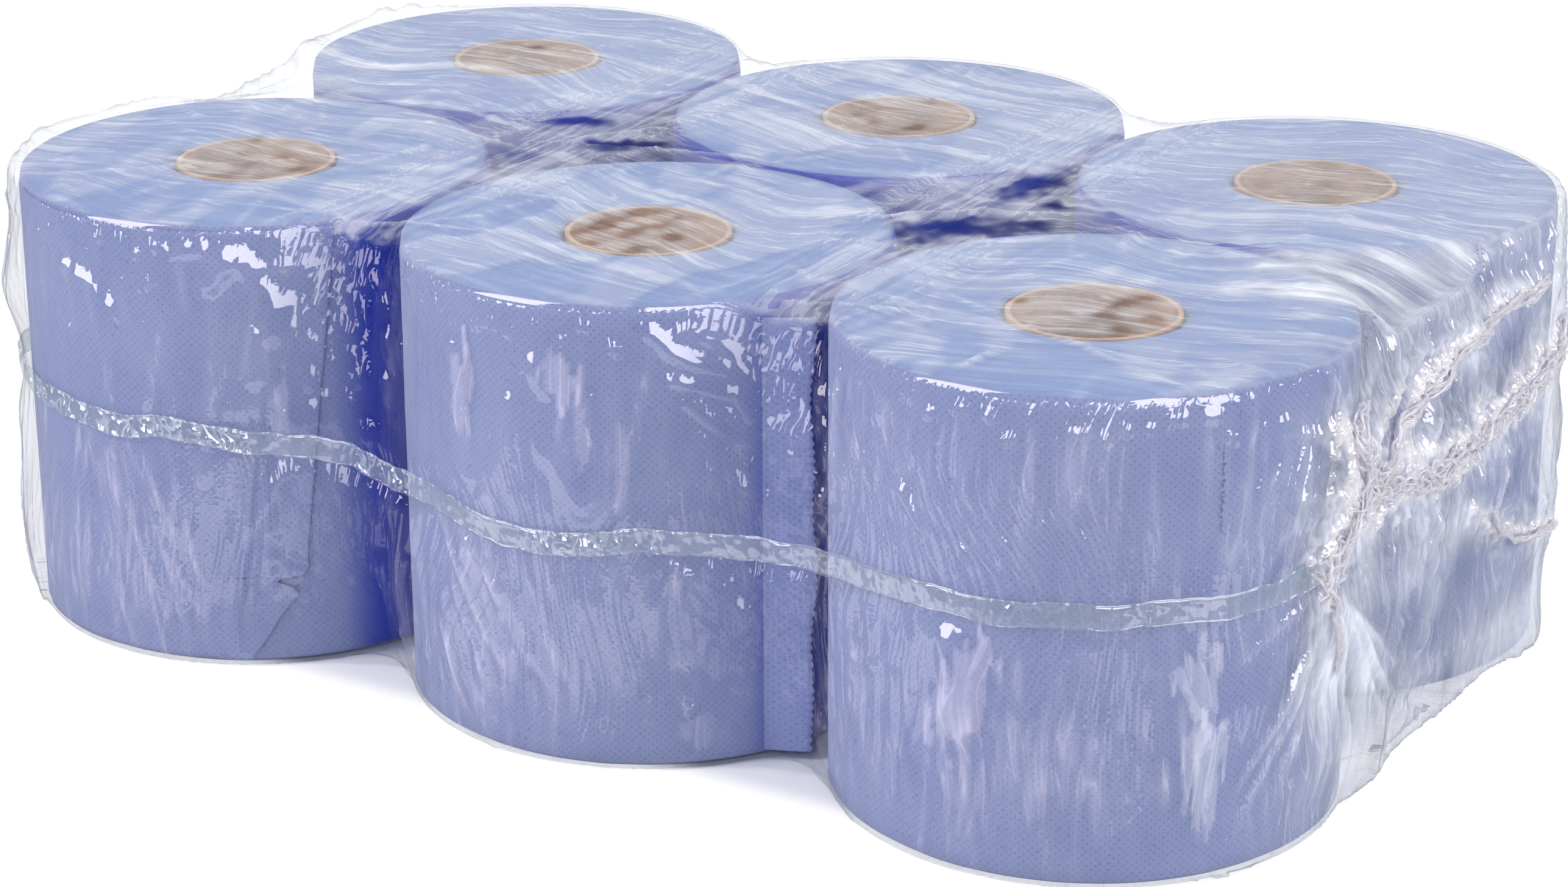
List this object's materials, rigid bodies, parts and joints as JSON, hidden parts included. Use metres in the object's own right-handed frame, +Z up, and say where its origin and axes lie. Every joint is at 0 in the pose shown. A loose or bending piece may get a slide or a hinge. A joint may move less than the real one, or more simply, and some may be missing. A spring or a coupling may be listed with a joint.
{
  "type": "pack of paper towel rolls",
  "caption": "Shrink-wrapped pack of blue centrefeed paper towel rolls on card cores, standing in two rows, with a welded film seam and bunched film ends.",
  "frame": {"origin": "middle of the underside, on the surface the pack stands on", "axes": "+X along the rows of three rolls, towards the end with the thick film gather; +Y from the front row, with the weld seam, to the back row; +Z up, along the roll axes"},
  "size_m": [0.5494, 0.3648, 0.174],
  "materials": {
    "towel_paper": "soft two-ply crepe paper in blue, finely dot embossed, matt",
    "core_card": "spirally wound brown card, matt",
    "clear_film": "clear shrink film, glossy and finely wrinkled, milky where it bunches"
  },
  "bodies": {
    "root": {"roll_front_left": "towel_paper", "core_front_left": "core_card", "roll_front_middle": "towel_paper", "core_front_middle": "core_card", "roll_front_right": "towel_paper", "core_front_right": "core_card", "roll_back_left": "towel_paper", "core_back_left": "core_card", "roll_back_middle": "towel_paper", "core_back_middle": "core_card", "roll_back_right": "towel_paper", "core_back_right": "core_card", "shrink_film": "clear_film"}
  },
  "joints": []
}
